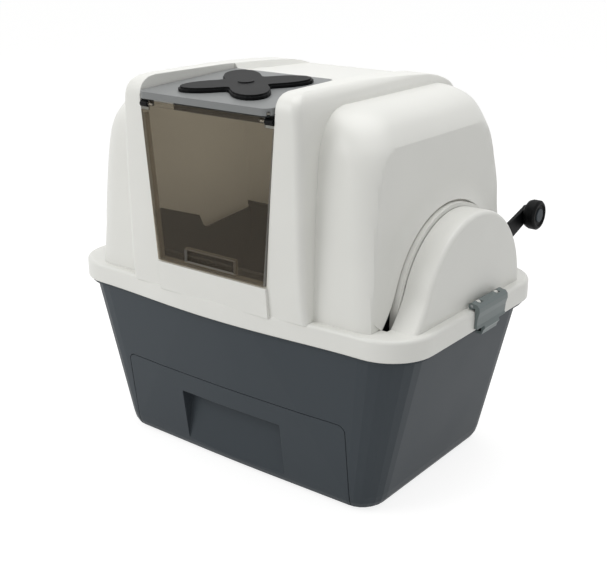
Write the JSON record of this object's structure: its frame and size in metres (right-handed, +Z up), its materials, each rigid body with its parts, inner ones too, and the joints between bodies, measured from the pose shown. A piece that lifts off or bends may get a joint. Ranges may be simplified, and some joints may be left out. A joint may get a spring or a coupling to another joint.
{
  "type": "hooded sifting litter box",
  "caption": "Hooded cat litter box with a smoked front door, a side lever that turns a sifting pan, a front waste drawer and a vented top panel.",
  "frame": {"origin": "on the floor, under the middle of the tub, on the underside of the middle foot strip", "axes": "+X towards the lever side, +Y towards the back, +Z up"},
  "size_m": [0.675, 0.5, 0.615],
  "materials": {
    "white_plastic": "fine satin moulding",
    "dark_plastic": "fine satin moulding",
    "panel_plastic": "satin",
    "clip_plastic": "satin",
    "bearing_plastic": "smooth",
    "black_plastic": "satin",
    "smoked_plastic": "smoked, clear",
    "grip_rubber": "matt",
    "filter_felt": "felted carbon mat",
    "steel": "plain"
  },
  "bodies": {
    "base": {"base_tub": "dark_plastic", "foot_strips": "grip_rubber", "pan_bearing_right": "bearing_plastic", "pan_bearing_left": "bearing_plastic", "bearing_screws": "steel", "hood_shell": "white_plastic", "filter_tray": "dark_plastic", "carbon_filter": "filter_felt", "door_pivot_blocks": "black_plastic"},
    "pan": {"sifting_pan": "dark_plastic", "sieve_grid": "dark_plastic", "sieve_screws": "steel", "pan_axle_right": "dark_plastic", "pan_axle_left": "dark_plastic", "crank_disc": "white_plastic", "lever_arm": "black_plastic", "lever_screws": "steel", "knob_axle": "steel"},
    "knob": {"lever_knob": "black_plastic", "knob_cap": "dark_plastic"},
    "drawer": {"waste_drawer": "dark_plastic"},
    "door": {"swing_door": "smoked_plastic", "door_pins": "steel"},
    "panel": {"top_panel": "panel_plastic", "panel_hinge_pins": "steel"},
    "star": {"vent_star": "black_plastic", "star_pivot": "steel"},
    "clip_right": {"side_clip_right": "clip_plastic", "clip_pin_right": "steel"},
    "clip_left": {"side_clip_left": "clip_plastic", "clip_pin_left": "steel"}
  },
  "joints": [
    {"name": "pan_turn", "type": "hinge", "parent": "base", "child": "pan", "pos_m": [0, 0, 0.3], "axis": [1, 0, 0], "range_deg": [0, 150]},
    {"name": "knob_spin", "type": "hinge", "parent": "pan", "child": "knob", "pos_m": [0.284, 0.24034, 0.37578], "axis": [1, 0, 0], "continuous": true},
    {"name": "drawer_slide", "type": "slide", "parent": "base", "child": "drawer", "axis": [0, -1, 0], "range_m": [0, 0.16]},
    {"name": "door_swing", "type": "hinge", "parent": "base", "child": "door", "pos_m": [0, -0.2248, 0.577], "axis": [1, 0, 0], "range_deg": [-75, 55]},
    {"name": "panel_lift", "type": "hinge", "parent": "base", "child": "panel", "pos_m": [0, -0.03683, 0.60384], "axis": [-1, 0, 0], "range_deg": [0, 90]},
    {"name": "star_turn", "type": "hinge", "parent": "panel", "child": "star", "pos_m": [0, -0.13585, 0.6014], "axis": [0, -0.0549, 0.9985], "range_deg": [0, 45]},
    {"name": "clip_right_swing", "type": "hinge", "parent": "base", "child": "clip_right", "pos_m": [0.324, 0.016, 0.3055], "axis": [0, -1, 0], "range_deg": [0, 80]},
    {"name": "clip_left_swing", "type": "hinge", "parent": "base", "child": "clip_left", "pos_m": [-0.324, 0.016, 0.3055], "axis": [0, 1, 0], "range_deg": [0, 80]}
  ]
}
